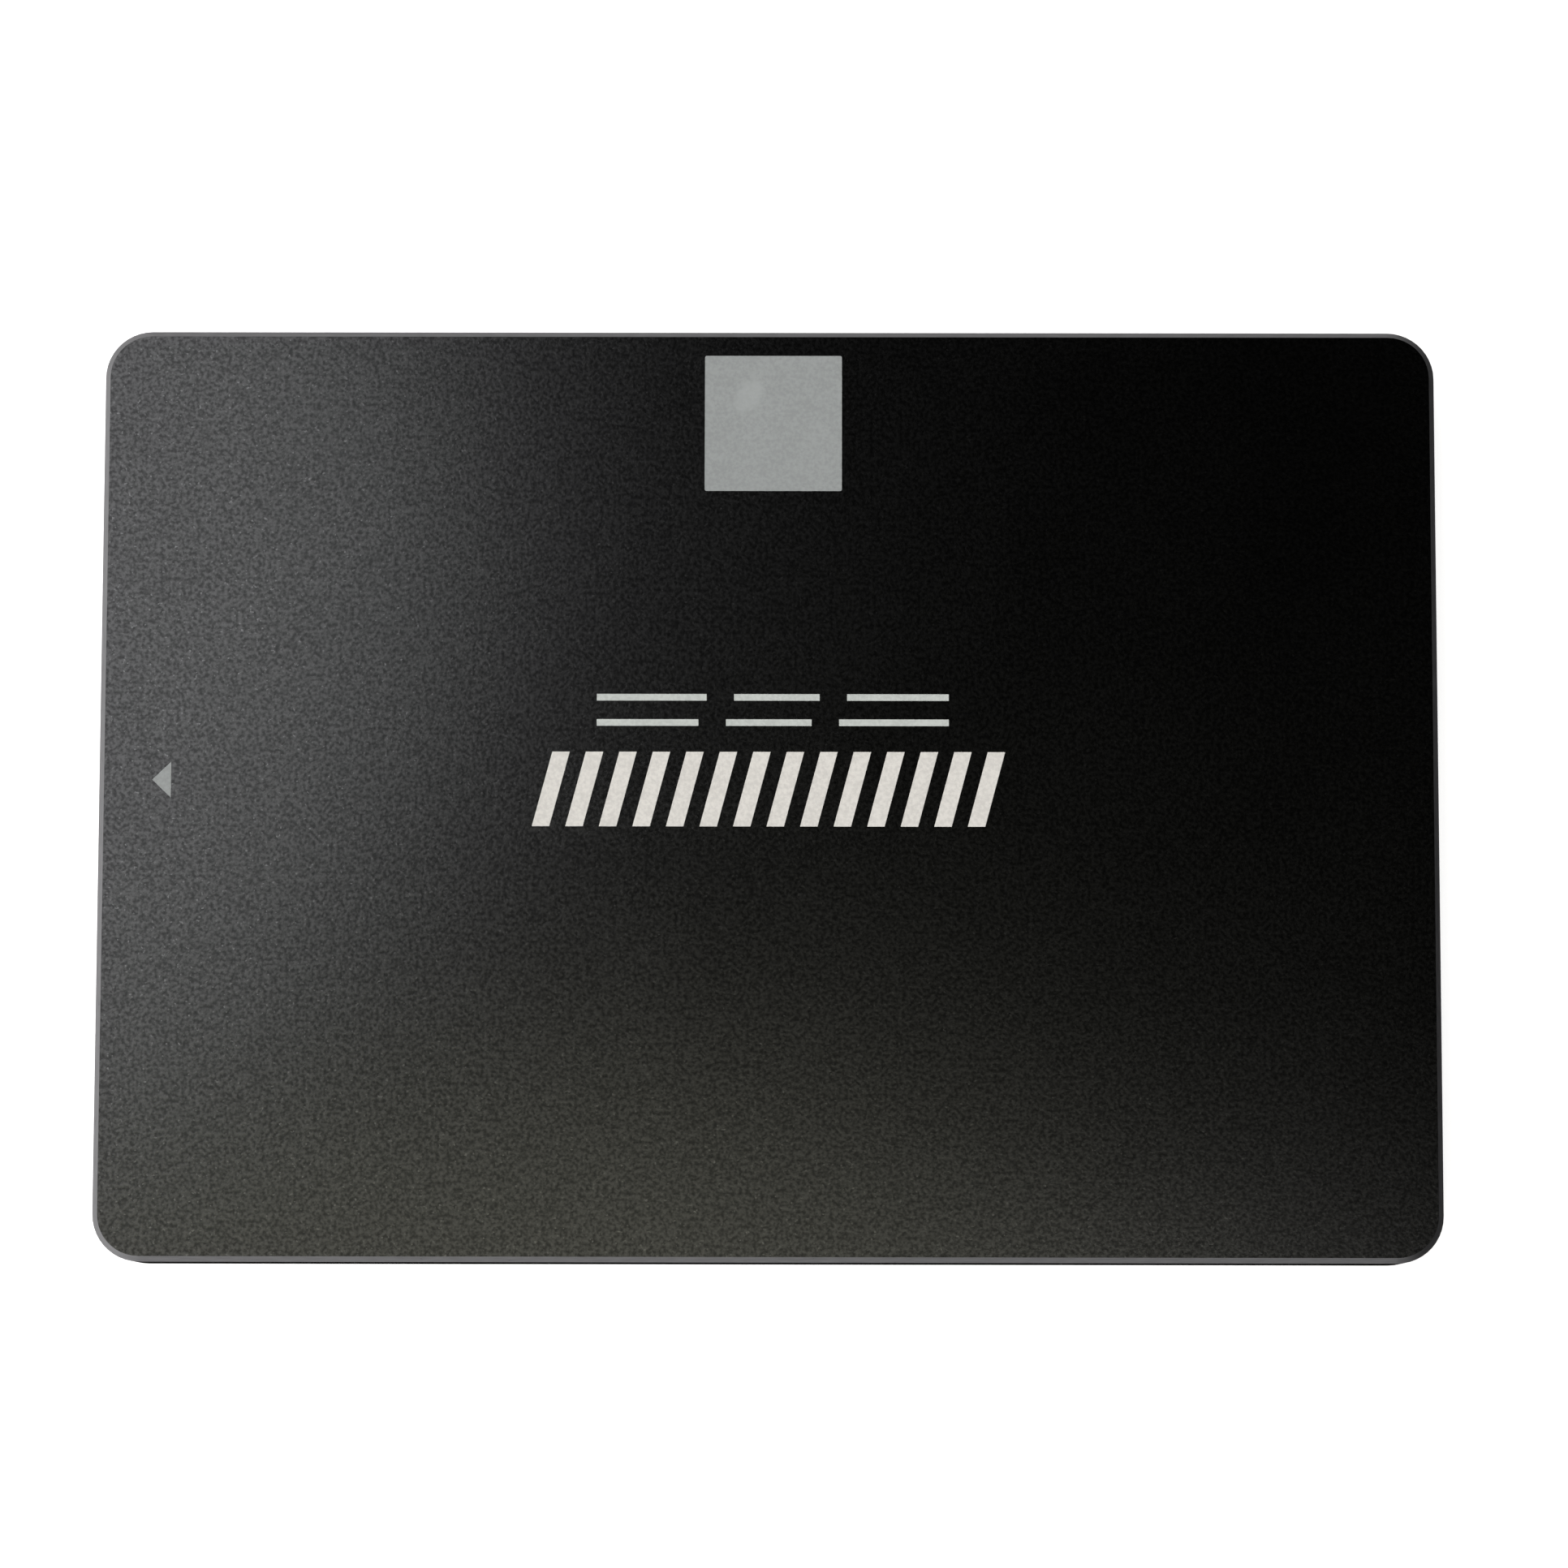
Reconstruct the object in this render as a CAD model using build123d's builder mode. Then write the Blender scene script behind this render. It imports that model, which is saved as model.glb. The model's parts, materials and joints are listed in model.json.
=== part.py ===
"""Solid state drive in the 2.5-inch, 7 mm class, as separate sub-parts.

Frame: millimetres, +Z up out of the printed face, origin at the centre of the
underside. The connector end faces -X, and the case is symmetric about XZ but for
its connector.
"""

from build123d import *
import os

# ---------------------------------------------------------------- driving dimensions
# Case
case_length = 100.0
case_width = 69.85
case_height = 6.8
corner_radius = 3.5
face_chamfer = 0.4
foot_chamfer = 0.2
wall_thickness = 2.0
rim_thickness = 1.2
top_thickness = 1.0
plate_thickness = 1.0
plate_clearance = 0.1
plate_chamfer = 0.15

# M3 mounting holes, measured from the connector end and from the long sides
mount_first = 14.0
mount_second = 90.6
mount_inset = 4.065
mount_hole_radius = 1.25
mount_depth = 3.5
side_hole_height = 3.0
side_hole_depth = 2.4
boss_radius = 2.9

# Screws that close the case
post_inset = 3.9
post_radius = 2.2
case_screw_radius = 0.75
case_screw_length = 4.2
case_head_radius = 1.7
case_head_height = 0.75
thread_clearance = 0.05
pilot_spare = 0.3
screw_sink = 0.05

# Six-lobed drive in each screw head
lobe_count = 6
lobe_circle_radius = 0.42
lobe_radius = 0.16
lobe_depth = 0.4

# Label on the underside
label_length = 66.0
label_width = 48.0
label_radius = 1.5
label_thickness = 0.1
label_recess = 0.2
label_clearance = 0.3
label_margin = 4.0
label_ink = 0.02
label_rows = 9
label_row_length = 36.0
label_row_height = 1.6
label_row_pitch = 4.4
label_row_shortening = 5.0
label_block_side = 15.0

# Printed marks on the face
ink_thickness = 0.03
square_side = 10.3
square_edge_gap = 1.85
square_shift = 0.3
square_radius = 0.15
triangle_depth = 1.4
triangle_width = 2.7
triangle_end_gap = 4.0
triangle_offset = 0.9
mark_width = 35.3
mark_height = 5.6
mark_bars = 14
mark_bar_width = 1.3
mark_slant = 1.5
mark_offset = 0.25
dash_lengths = [8.2, 6.4, 7.6]
dash_gap = 2.05
dash_thickness = 0.5
dash_row_pitch = 1.9
dash_offset = 6.2
dash_shift = 0.3

# Circuit board
board_length = 28.0
board_thickness = 1.0
board_drop = 0.9
board_clearance = 0.4
board_corner = 0.8
board_hole_clearance = 0.2
standoff_radius = 2.0
board_screw_radius = 0.7
board_screw_length = 2.6
board_head_radius = 1.9
board_head_height = 0.8
head_chamfer = 0.15
screw_margin = 3.0
front_screw_inset = 2.3
front_screw_offset = -22.0

# Serial ATA connector, measured from the gap between its two tongues
connector_recess = 0.35
tongue_height = 3.5
tongue_length = 4.9
tongue_thickness = 1.23
tongue_chamfer = 0.25
signal_width = 10.41
power_width = 20.57
tongue_gap = 2.41
key_width = 1.1
key_drop = 1.1
arm_space = 3.17
arm_thickness = 1.5
arm_lead = 0.15
block_depth = 2.5
block_under_gap = 0.4
block_over_gap = 0.2
block_step = 0.3
ear_length = 4.0
ear_width = 3.2
window_clearance = 0.3

# Contacts
contact_pitch = 1.27
contact_width = 0.8
contact_thickness = 0.2
contact_proud = 0.08
contact_first = 3.175
contact_bend = 1.2
contact_tail = 1.6
long_setback = 0.5
short_setback = 1.0
signal_count = 7
power_count = 15
signal_long = [0, 3, 6]
power_long = [3, 11]

# Board locks of the connector
lock_width = 1.6
lock_thickness = 0.3
lock_inset = 1.2
lock_tail = 0.5

# Packages on the board, with their length along X and their width along Y
chip_chamfer = 0.1
dot_radius = 0.5
dot_depth = 0.05
dot_inset = 1.4
flash_length = 18.0
flash_width = 12.0
flash_height = 1.1
flash_edge_gap = 5.6
controller_side = 14.0
controller_height = 1.2
memory_length = 12.0
memory_width = 9.0
memory_height = 1.0
chip_gap = 2.4
chip_setback = 5.0
manager_side = 4.0
manager_height = 0.8
crystal_length = 2.5
crystal_width = 3.2
crystal_height = 0.8
pad_inset = 1.0

# Power parts and small parts
coil_length = 2.5
coil_width = 2.0
coil_height = 1.1
coil_count = 3
polymer_length = 3.2
polymer_width = 6.0
polymer_headroom = 0.4
polymer_count = 3
polymer_pitch = 7.0
strip_gap = 1.0
small_length = 1.0
small_width = 0.5
small_height = 0.5
resistor_height = 0.35
small_pitch = 1.4
capacitor_count = 12
resistor_count = 8
capacitor_columns = 3
under_pitch = 2.4
front_row_inset = 1.6
capacitor_row_start = -11.0
crystal_offset = 8.4
crystal_setback = 2.6
resistor_row_start = 12.0

# ---------------------------------------------------------------- derived places
half_length = case_length / 2
half_width = case_width / 2
ceiling = case_height - top_thickness
mount_x = [mount_first - half_length, mount_second - half_length]
mount_y = half_width - mount_inset
post_x = half_length - post_inset
post_y = half_width - post_inset
pilot_radius = case_screw_radius + thread_clearance

tongue_tip = connector_recess - half_length
block_front = tongue_tip + tongue_length
block_back = block_front + block_depth
signal_end = -tongue_gap / 2 - signal_width
power_end = tongue_gap / 2 + power_width
housing_low = signal_end - arm_space - arm_thickness
housing_high = power_end + arm_space + arm_thickness
tongue_under = tongue_height - tongue_thickness / 2

board_height = tongue_height - board_drop
board_top = board_height + board_thickness
block_low = plate_thickness + block_under_gap
block_high = ceiling - block_over_gap
arm_low = block_low + block_step
arm_high = block_high - block_step
ear_height = arm_high - board_top
polymer_height = ceiling - board_top - polymer_headroom

board_start = block_back + plate_clearance
board_end = board_start + board_length
board_half = half_width - wall_thickness - board_clearance
rear_screw_x = board_end - screw_margin
rear_screw_y = board_half - screw_margin
board_screw_points = [
    (board_start + front_screw_inset, front_screw_offset),
    (rear_screw_x, -rear_screw_y),
    (rear_screw_x, rear_screw_y),
]

flash_x = board_start + chip_setback + flash_length / 2
flash_y = board_half - flash_edge_gap - flash_width / 2
controller_x = board_start + chip_setback + controller_side / 2
controller_y = flash_width / 2 - flash_y + chip_gap + controller_side / 2
memory_x = board_start + chip_setback + memory_length / 2
memory_y = controller_y + controller_side / 2 + chip_gap + memory_width / 2
strip_x = board_end - strip_gap - polymer_length / 2
strip_start = rear_screw_y - standoff_radius - strip_gap

manager_y = manager_side / 2 - strip_start
coil_start = manager_y + manager_side / 2 + strip_gap + coil_width / 2
coil_points = [
    (strip_x, coil_start + index * (coil_width + strip_gap)) for index in range(coil_count)
]
polymer_points = [
    (strip_x, strip_start - polymer_width / 2 - index * polymer_pitch)
    for index in range(polymer_count)
]
front_row_x = board_start + front_row_inset

flash_points = [(flash_x, -flash_y), (flash_x, flash_y)]
mount_points = [(x, side * mount_y) for x in mount_x for side in (-1, 1)]
post_points = [(end * post_x, side * post_y) for end in (-1, 1) for side in (-1, 1)]


# ---------------------------------------------------------------- shared shapes
def boss_outline(points, spare, reach):
    """D-shaped outlines round the mounting holes, run out to `reach` from the centreline."""
    for x, y in points:
        side = 1 if y > 0 else -1
        with Locations((x, y)):
            Circle(boss_radius + spare)
        with Locations((x, side * (reach + mount_y) / 2)):
            Rectangle(2 * (boss_radius + spare), reach - mount_y)


def six_lobes():
    """Outline of the drive recess in a screw head."""
    Circle(lobe_circle_radius)
    with PolarLocations(lobe_circle_radius, lobe_count):
        Circle(lobe_radius)


def package(length, width, points, base, height):
    """Moulded packages that stand on `base`; a negative height hangs them below it."""
    with BuildPart() as body:
        with BuildSketch(Plane.XY.offset(base)):
            with Locations(*points):
                Rectangle(length, width)
        extrude(amount=height)
        outer_faces = body.faces().group_by(Axis.Z)[-1 if height > 0 else 0]
        chamfer(outer_faces.edges(), chip_chamfer)
        with BuildSketch(Plane.XY.offset(base + height)):
            for x, y in points:
                with Locations((x - length / 2 + dot_inset, y - width / 2 + dot_inset)):
                    Circle(dot_radius)
        extrude(amount=-dot_depth if height > 0 else dot_depth, mode=Mode.SUBTRACT)
    return body.part


def slab(length, width, points, low, high):
    """Plain pads between two heights."""
    with BuildPart() as pads:
        with BuildSketch(Plane.XY.offset(low)):
            with Locations(*points):
                Rectangle(length, width)
        extrude(amount=high - low)
    return pads.part


def contacts(count, direction, long_ones):
    """A row of stepped contacts that runs away from the gap between the tongues."""
    top = tongue_under - contact_proud + contact_thickness
    bend = block_front + contact_bend
    tail_end = block_back + contact_tail
    with BuildPart() as row:
        for index in range(count):
            setback = long_setback if index in long_ones else short_setback
            y = direction * (contact_first + index * contact_pitch)
            with BuildSketch(Plane.XZ.offset(-y)):
                with BuildLine():
                    Polyline(
                        (tongue_tip + setback, top),
                        (bend, top),
                        (bend, board_height),
                        (tail_end, board_height),
                        (tail_end, board_height - contact_thickness),
                        (bend - contact_thickness, board_height - contact_thickness),
                        (bend - contact_thickness, top - contact_thickness),
                        (tongue_tip + setback, top - contact_thickness),
                        close=True,
                    )
                make_face()
            extrude(amount=contact_width / 2, both=True)
    return row.part


parts = {}

# ---------------------------------------------------------------- case shell
with BuildPart() as case_shell:
    with BuildSketch():
        RectangleRounded(case_length, case_width, corner_radius)
    extrude(amount=case_height)
    chamfer(case_shell.faces().sort_by(Axis.Z)[-1].edges(), face_chamfer)
    chamfer(case_shell.faces().sort_by(Axis.Z)[0].edges(), foot_chamfer)
    # Pocket for the board, and the wider seat that takes the base plate
    with BuildSketch(Plane.XY.offset(plate_thickness)):
        RectangleRounded(
            case_length - 2 * wall_thickness,
            case_width - 2 * wall_thickness,
            corner_radius - wall_thickness,
        )
    extrude(amount=ceiling - plate_thickness, mode=Mode.SUBTRACT)
    with BuildSketch():
        RectangleRounded(
            case_length - 2 * rim_thickness,
            case_width - 2 * rim_thickness,
            corner_radius - rim_thickness,
        )
    extrude(amount=plate_thickness, mode=Mode.SUBTRACT)
    # Bosses of the mounting holes reach down to the underside
    with BuildSketch():
        boss_outline(mount_points, 0, half_width - rim_thickness / 2)
    extrude(amount=ceiling)
    # Corner posts carry the base plate, and standoffs carry the board
    with BuildSketch(Plane.XY.offset(plate_thickness)):
        with Locations(*post_points):
            Circle(post_radius)
    extrude(amount=ceiling - plate_thickness)
    with BuildSketch(Plane.XY.offset(board_top)):
        with Locations(*board_screw_points):
            Circle(standoff_radius)
    extrude(amount=ceiling - board_top)
    # Window for the plug
    with BuildSketch(Plane.XY.offset(plate_thickness)):
        with Locations((wall_thickness / 2 - half_length, (housing_low + housing_high) / 2)):
            Rectangle(wall_thickness, housing_high - housing_low + 2 * window_clearance)
    extrude(amount=ceiling - plate_thickness, mode=Mode.SUBTRACT)
    # Mounting holes from below and from both sides
    with BuildSketch():
        with Locations(*mount_points):
            Circle(mount_hole_radius)
    extrude(amount=mount_depth, mode=Mode.SUBTRACT)
    for side in (-1, 1):
        with BuildSketch(Plane.XZ.offset(side * half_width)):
            with Locations(*[(x, side_hole_height) for x in mount_x]):
                Circle(mount_hole_radius)
        extrude(amount=-side * side_hole_depth, mode=Mode.SUBTRACT)
    # Pilot holes of the two kinds of screw
    with BuildSketch(Plane.XY.offset(plate_thickness)):
        with Locations(*post_points):
            Circle(pilot_radius)
    extrude(amount=case_screw_length - plate_thickness + pilot_spare, mode=Mode.SUBTRACT)
    with BuildSketch(Plane.XY.offset(board_top)):
        with Locations(*board_screw_points):
            Circle(board_screw_radius + thread_clearance)
    extrude(amount=board_screw_length - board_thickness + thread_clearance, mode=Mode.SUBTRACT)
parts["case_shell"] = case_shell.part

# ---------------------------------------------------------------- base plate
plate_inset = rim_thickness + plate_clearance
head_hole_radius = case_head_radius + thread_clearance
upright = (Align.CENTER, Align.CENTER, Align.MIN)
head_places = [(x, y, screw_sink) for x, y in post_points]
with BuildPart() as base_plate:
    with BuildSketch():
        RectangleRounded(
            case_length - 2 * plate_inset,
            case_width - 2 * plate_inset,
            corner_radius - plate_inset,
        )
    extrude(amount=plate_thickness)
    chamfer(base_plate.faces().sort_by(Axis.Z)[0].edges(), plate_chamfer)
    with BuildSketch():
        boss_outline(mount_points, plate_clearance, half_width)
    extrude(amount=plate_thickness, mode=Mode.SUBTRACT)
    # Shallow recess that keeps the label clear of what the drive rests on
    with BuildSketch():
        RectangleRounded(
            label_length + 2 * label_clearance,
            label_width + 2 * label_clearance,
            label_radius + label_clearance,
        )
    extrude(amount=label_recess, mode=Mode.SUBTRACT)
    # Countersunk screw holes
    with Locations(*post_points):
        Cylinder(head_hole_radius, screw_sink, align=upright, mode=Mode.SUBTRACT)
        Cylinder(pilot_radius, plate_thickness, align=upright, mode=Mode.SUBTRACT)
    with Locations(*head_places):
        Cone(head_hole_radius, pilot_radius, case_head_height, align=upright, mode=Mode.SUBTRACT)
parts["base_plate"] = base_plate.part

# ---------------------------------------------------------------- case screws
with BuildPart() as case_screws:
    with Locations(*head_places):
        Cone(case_head_radius, case_screw_radius, case_head_height, align=upright)
        Cylinder(case_screw_radius, case_screw_length - screw_sink, align=upright)
    with BuildSketch(Plane.XY.offset(screw_sink)):
        for point in post_points:
            with Locations(point):
                six_lobes()
    extrude(amount=lobe_depth, mode=Mode.SUBTRACT)
parts["case_screws"] = case_screws.part

# ---------------------------------------------------------------- label and its blocks
label_under = label_recess - label_thickness
with BuildPart() as rear_label:
    with BuildSketch(Plane.XY.offset(label_under)):
        RectangleRounded(label_length, label_width, label_radius)
    extrude(amount=label_thickness)
parts["rear_label"] = rear_label.part

label_left = label_margin - label_length / 2
label_top = label_width / 2 - label_margin
block_x = -label_left - label_block_side / 2
with BuildPart() as label_blocks:
    with BuildSketch(Plane.XY.offset(label_under)):
        for row in range(label_rows):
            length = label_row_length - label_row_shortening * (row % 3)
            y = label_top - label_row_height / 2 - row * label_row_pitch
            with Locations((label_left + length / 2, y)):
                Rectangle(length, label_row_height)
        with Locations((block_x, label_top - label_block_side / 2)):
            Rectangle(label_block_side, label_block_side)
    extrude(amount=-label_ink)
parts["label_blocks"] = label_blocks.part

# ---------------------------------------------------------------- printed marks
face_plane = Plane.XY.offset(case_height)
with BuildPart() as face_square:
    with BuildSketch(face_plane):
        with Locations((square_shift, half_width - square_edge_gap - square_side / 2)):
            RectangleRounded(square_side, square_side, square_radius)
    extrude(amount=ink_thickness)
parts["face_square"] = face_square.part

triangle_tip = triangle_end_gap - half_length
triangle_base = triangle_tip + triangle_depth
with BuildPart() as face_triangle:
    with BuildSketch(face_plane):
        with BuildLine():
            Polyline(
                (triangle_tip, triangle_offset),
                (triangle_base, triangle_offset - triangle_width / 2),
                (triangle_base, triangle_offset + triangle_width / 2),
                close=True,
            )
        make_face()
    extrude(amount=ink_thickness)
parts["face_triangle"] = face_triangle.part

bar_pitch = (mark_width - mark_slant - mark_bar_width) / (mark_bars - 1)
bar_low = mark_offset - mark_height / 2
bar_high = mark_offset + mark_height / 2
with BuildPart() as face_bars:
    with BuildSketch(face_plane):
        for index in range(mark_bars):
            left = index * bar_pitch - mark_width / 2
            with BuildLine():
                Polyline(
                    (left, bar_low),
                    (left + mark_bar_width, bar_low),
                    (left + mark_bar_width + mark_slant, bar_high),
                    (left + mark_slant, bar_high),
                    close=True,
                )
            make_face()
    extrude(amount=ink_thickness)
parts["face_bars"] = face_bars.part

dash_span = sum(dash_lengths) + dash_gap * (len(dash_lengths) - 1)
with BuildPart() as face_dashes:
    with BuildSketch(face_plane):
        for row in (-1, 1):
            start = dash_shift - dash_span / 2
            for length in dash_lengths[::row]:
                with Locations((start + length / 2, dash_offset + row * dash_row_pitch / 2)):
                    Rectangle(length, dash_thickness)
                start += length + dash_gap
    extrude(amount=ink_thickness)
parts["face_dashes"] = face_dashes.part

# ---------------------------------------------------------------- connector
parts["signal_contacts"] = contacts(signal_count, -1, signal_long)
parts["power_contacts"] = contacts(power_count, 1, power_long)

ear_centres = [housing_low + ear_width / 2, housing_high - ear_width / 2]
lock_x = block_back + ear_length - lock_inset - lock_width / 2
lock_points = [(lock_x, y) for y in ear_centres]
with BuildPart() as board_locks:
    with BuildSketch(Plane.XY.offset(board_height - lock_tail)):
        with Locations(*lock_points):
            Rectangle(lock_width, lock_thickness)
    extrude(amount=lock_tail + board_thickness + ear_height)
parts["board_locks"] = board_locks.part

with BuildPart() as connector_housing:
    # Block behind the tongues
    with BuildSketch(Plane.YZ.offset(block_front)):
        with Locations(((housing_low + housing_high) / 2, (block_low + block_high) / 2)):
            Rectangle(housing_high - housing_low, block_high - block_low)
    extrude(amount=block_depth)
    # Two L-shaped tongues, with a lead-in at their tips
    for direction, far_end in ((-1, signal_end), (1, power_end)):
        near_end = direction * tongue_gap / 2
        with BuildSketch(Plane.YZ.offset(block_front)):
            with Locations(((near_end + far_end) / 2, tongue_height)):
                Rectangle(abs(far_end - near_end), tongue_thickness)
            with Locations((near_end + direction * key_width / 2, tongue_under - key_drop / 2)):
                Rectangle(key_width, key_drop)
        extrude(amount=-tongue_length)
    chamfer(connector_housing.faces().group_by(Axis.X)[0].edges(), tongue_chamfer)
    # Guide arms, which reach a little past the tongues
    with BuildSketch(Plane.YZ.offset(block_front)):
        for y in (housing_low + arm_thickness / 2, housing_high - arm_thickness / 2):
            with Locations((y, (arm_low + arm_high) / 2)):
                Rectangle(arm_thickness, arm_high - arm_low)
    extrude(amount=-tongue_length - arm_lead)
    chamfer(connector_housing.faces().group_by(Axis.X)[0].edges(), tongue_chamfer)
    # Ears that sit on the board
    with BuildSketch(Plane.XY.offset(board_top)):
        with Locations(*[(block_back + ear_length / 2, y) for y in ear_centres]):
            Rectangle(ear_length, ear_width)
    extrude(amount=ear_height)
    # Cavities of the contacts and board locks
    for name in ("signal_contacts", "power_contacts", "board_locks"):
        add(parts[name], mode=Mode.SUBTRACT)
parts["connector_housing"] = connector_housing.part

# ---------------------------------------------------------------- circuit board
with BuildPart() as circuit_board:
    with BuildSketch(Plane.XY.offset(board_height)):
        with Locations(((board_start + board_end) / 2, 0)):
            RectangleRounded(board_length, 2 * board_half, board_corner)
    extrude(amount=board_thickness)
    with BuildSketch(Plane.XY.offset(board_height)):
        boss_outline(mount_points, board_clearance, half_width)
        with Locations(*board_screw_points):
            Circle(board_screw_radius + board_hole_clearance)
        with Locations(*lock_points):
            Rectangle(
                lock_width + 2 * board_hole_clearance,
                lock_thickness + 2 * board_hole_clearance,
            )
    extrude(amount=board_thickness, mode=Mode.SUBTRACT)
parts["circuit_board"] = circuit_board.part

with BuildPart() as board_screws:
    with BuildSketch(Plane.XY.offset(board_height)):
        with Locations(*board_screw_points):
            Circle(board_head_radius)
    extrude(amount=-board_head_height)
    chamfer(board_screws.faces().group_by(Axis.Z)[0].edges(), head_chamfer)
    with BuildSketch(Plane.XY.offset(board_height)):
        with Locations(*board_screw_points):
            Circle(board_screw_radius)
    extrude(amount=board_screw_length)
    with BuildSketch(Plane.XY.offset(board_height - board_head_height)):
        for point in board_screw_points:
            with Locations(point):
                six_lobes()
    extrude(amount=lobe_depth, mode=Mode.SUBTRACT)
parts["board_screws"] = board_screws.part

# ---------------------------------------------------------------- packages on the board
controller_points = [(controller_x, controller_y)]
parts["flash_chips_upper"] = package(flash_length, flash_width, flash_points, board_top, flash_height)
parts["flash_chips_lower"] = package(
    flash_length, flash_width, flash_points, board_height, -flash_height
)
parts["controller_chip"] = package(
    controller_side, controller_side, controller_points, board_top, controller_height
)
parts["memory_chip"] = package(
    memory_length, memory_width, [(memory_x, memory_y)], board_top, memory_height
)
parts["power_manager_chip"] = package(
    manager_side, manager_side, [(strip_x, manager_y)], board_top, manager_height
)

# ---------------------------------------------------------------- thermal pads
parts["controller_pad"] = slab(
    controller_side - 2 * pad_inset,
    controller_side - 2 * pad_inset,
    controller_points,
    board_top + controller_height,
    ceiling,
)
flash_pad_size = (flash_length - 2 * pad_inset, flash_width - 2 * pad_inset)
parts["flash_pads_upper"] = slab(*flash_pad_size, flash_points, board_top + flash_height, ceiling)
parts["flash_pads_lower"] = slab(
    *flash_pad_size, flash_points, plate_thickness, board_height - flash_height
)

# ---------------------------------------------------------------- small parts
small_under = board_height - small_height
resistor_under = board_height - resistor_height
top_capacitors = [
    (front_row_x, capacitor_row_start + index * small_pitch) for index in range(capacitor_count)
]
under_capacitors = [
    (
        controller_x + (index % capacitor_columns - 1) * under_pitch,
        controller_y + (index // capacitor_columns - 1) * under_pitch,
    )
    for index in range(capacitor_count)
]
resistor_rows = [resistor_row_start + index * small_pitch for index in range(resistor_count)]
with BuildPart() as ceramic_capacitors:
    for base, points in ((board_top, top_capacitors), (small_under, under_capacitors)):
        with BuildSketch(Plane.XY.offset(base)):
            with Locations(*points):
                Rectangle(small_length, small_width)
        extrude(amount=small_height)
parts["ceramic_capacitors"] = ceramic_capacitors.part

with BuildPart() as chip_resistors:
    for base in (board_top, resistor_under):
        with BuildSketch(Plane.XY.offset(base)):
            with Locations(*[(front_row_x + small_length, y) for y in resistor_rows]):
                Rectangle(small_length, small_width)
        extrude(amount=resistor_height)
parts["chip_resistors"] = chip_resistors.part

crystal_points = [(board_start + crystal_setback, crystal_offset)]
parts["crystal"] = slab(
    crystal_length, crystal_width, crystal_points, board_top, board_top + crystal_height
)
parts["power_inductors"] = slab(
    coil_length, coil_width, coil_points, board_top, board_top + coil_height
)
parts["polymer_capacitors"] = slab(
    polymer_length, polymer_width, polymer_points, board_top, board_top + polymer_height
)

# ---------------------------------------------------------------- files
os.makedirs("parts", exist_ok=True)
for name, part in parts.items():
    part.label = name
    export_step(part, f"parts/{name}.step")
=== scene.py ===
import json
import math

import bmesh
import bpy
from bpy.props import FloatProperty, FloatVectorProperty, PointerProperty
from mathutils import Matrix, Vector


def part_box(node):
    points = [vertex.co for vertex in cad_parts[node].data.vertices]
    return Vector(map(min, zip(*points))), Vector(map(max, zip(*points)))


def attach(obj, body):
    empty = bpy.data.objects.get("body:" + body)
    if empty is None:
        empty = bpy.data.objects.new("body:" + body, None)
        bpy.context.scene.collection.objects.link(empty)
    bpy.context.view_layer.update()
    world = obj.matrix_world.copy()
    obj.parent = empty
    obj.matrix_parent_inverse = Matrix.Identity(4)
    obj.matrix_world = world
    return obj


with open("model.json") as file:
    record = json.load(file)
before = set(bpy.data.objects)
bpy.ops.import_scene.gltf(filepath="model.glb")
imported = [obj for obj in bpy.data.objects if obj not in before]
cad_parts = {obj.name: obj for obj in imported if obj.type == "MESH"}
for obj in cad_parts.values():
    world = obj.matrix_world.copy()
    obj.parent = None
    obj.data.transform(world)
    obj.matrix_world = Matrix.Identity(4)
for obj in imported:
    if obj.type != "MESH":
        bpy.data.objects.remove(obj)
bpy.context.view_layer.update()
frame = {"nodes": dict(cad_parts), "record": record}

bl_info = {
    "name": "Solid State Drive Finishes",
    "version": (1, 0, 0),
    "blender": (4, 5, 0),
    "location": "View3D > Sidebar > Drive",
    "description": "Finishes, mounting threads and studio of a 2.5-inch solid state drive",
    "category": "Object",
}

NODES = frame["nodes"]
MM = 0.001
CASE_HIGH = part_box("case_shell")[1]
BOARD_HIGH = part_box("circuit_board")[1]


# ------------------------------------------------------------------ settings
class DriveFinish(bpy.types.PropertyGroup):
    """Colours and grain of the drive's surfaces."""

    case_colour: FloatVectorProperty(
        name="Case Colour", description="Dye of the anodised case",
        subtype="COLOR", size=3, min=0, max=1, default=(0.042, 0.042, 0.042))
    grain_size: FloatProperty(
        name="Grain Size", description="Width of one pit of the blasted surface",
        unit="LENGTH", default=0.27 * MM, min=0.05 * MM, max=1.0 * MM, precision=5)
    chamfer_width: FloatProperty(
        name="Chamfer Width", description="Bright band round the printed face",
        unit="LENGTH", default=0.4 * MM, min=0.1 * MM, max=1.0 * MM, precision=5)
    chamfer_colour: FloatVectorProperty(
        name="Chamfer Colour", description="Metal of the cut chamfer",
        subtype="COLOR", size=3, min=0, max=1, default=(0.36, 0.36, 0.37))
    mark_white: FloatVectorProperty(
        name="Mark White", description="Ink of the large mark",
        subtype="COLOR", size=3, min=0, max=1, default=(0.80, 0.778, 0.735))
    mark_grey: FloatVectorProperty(
        name="Mark Grey", description="Ink of the square and the triangle",
        subtype="COLOR", size=3, min=0, max=1, default=(0.34, 0.36, 0.36))
    mark_pale: FloatVectorProperty(
        name="Mark Pale", description="Ink of the dashes",
        subtype="COLOR", size=3, min=0, max=1, default=(0.60, 0.635, 0.61))
    label_colour: FloatVectorProperty(
        name="Label Colour", description="Film of the label under the drive",
        subtype="COLOR", size=3, min=0, max=1, default=(0.62, 0.63, 0.64))
    board_colour: FloatVectorProperty(
        name="Board Colour", description="Solder mask of the circuit board",
        subtype="COLOR", size=3, min=0, max=1, default=(0.004, 0.03, 0.018))


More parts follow.
